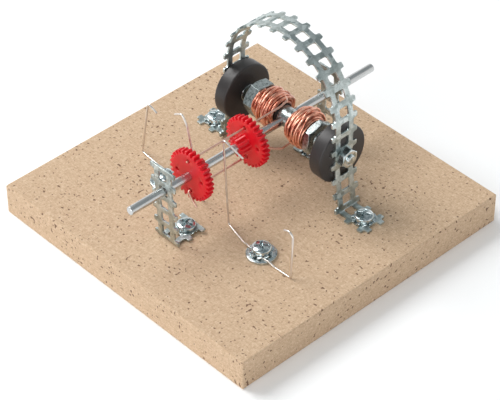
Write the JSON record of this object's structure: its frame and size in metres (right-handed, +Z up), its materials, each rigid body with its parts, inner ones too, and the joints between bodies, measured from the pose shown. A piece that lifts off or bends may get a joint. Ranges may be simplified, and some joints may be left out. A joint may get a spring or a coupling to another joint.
{
  "type": "demonstration electric motor",
  "caption": "Open demonstration motor: a wound bolt core on an axle turns between two disc magnets under a perforated strap arch, with spring wire brushes on a board.",
  "frame": {"origin": "middle of the board's underside", "axes": "+X across the arch towards the core nut's side, +Y along the axle from the commutator to the coil, +Z up"},
  "size_m": [0.1, 0.1, 0.0614],
  "materials": {
    "board": "matt hardboard",
    "galvanised_strap": "galvanised, satin",
    "zinc_fastener": "bright zinc",
    "ferrite": "dark sintered ferrite",
    "axle_steel": "drawn bright steel",
    "core_steel": "zinc plated",
    "red_plastic": "moulded, satin gloss",
    "copper": "enamelled copper wire",
    "tape": "dark insulating tape",
    "spring_wire": "bright spring wire"
  },
  "bodies": {
    "stand": {"base_board": "board", "arch_strap": "galvanised_strap", "front_bearing_strap": "galvanised_strap", "rear_bearing_strap": "galvanised_strap", "arch_foot_screws": "zinc_fastener", "bearing_foot_screws": "zinc_fastener", "brush_screws": "zinc_fastener", "foot_toothed_washers": "zinc_fastener", "brush_toothed_washers": "zinc_fastener", "brush_plain_washers": "zinc_fastener", "left_magnet": "ferrite", "right_magnet": "ferrite", "magnet_screws": "zinc_fastener", "magnet_nuts": "zinc_fastener", "left_brush": "spring_wire", "right_brush": "spring_wire"},
    "rotor": {"axle": "axle_steel", "front_commutator_wheel": "red_plastic", "rear_commutator_wheel": "red_plastic", "upper_commutator_wire": "copper", "lower_commutator_wire": "copper", "core_bolt": "core_steel", "core_nut": "core_steel", "left_core_tape": "tape", "right_core_tape": "tape", "left_winding_core": "copper", "right_winding_core": "copper", "left_winding_turns": "copper", "right_winding_turns": "copper"}
  },
  "joints": [
    {"name": "rotor_spin", "type": "hinge", "parent": "stand", "child": "rotor", "pos_m": [0, 0, 0.0287], "axis": [0, 1, 0], "continuous": true}
  ]
}
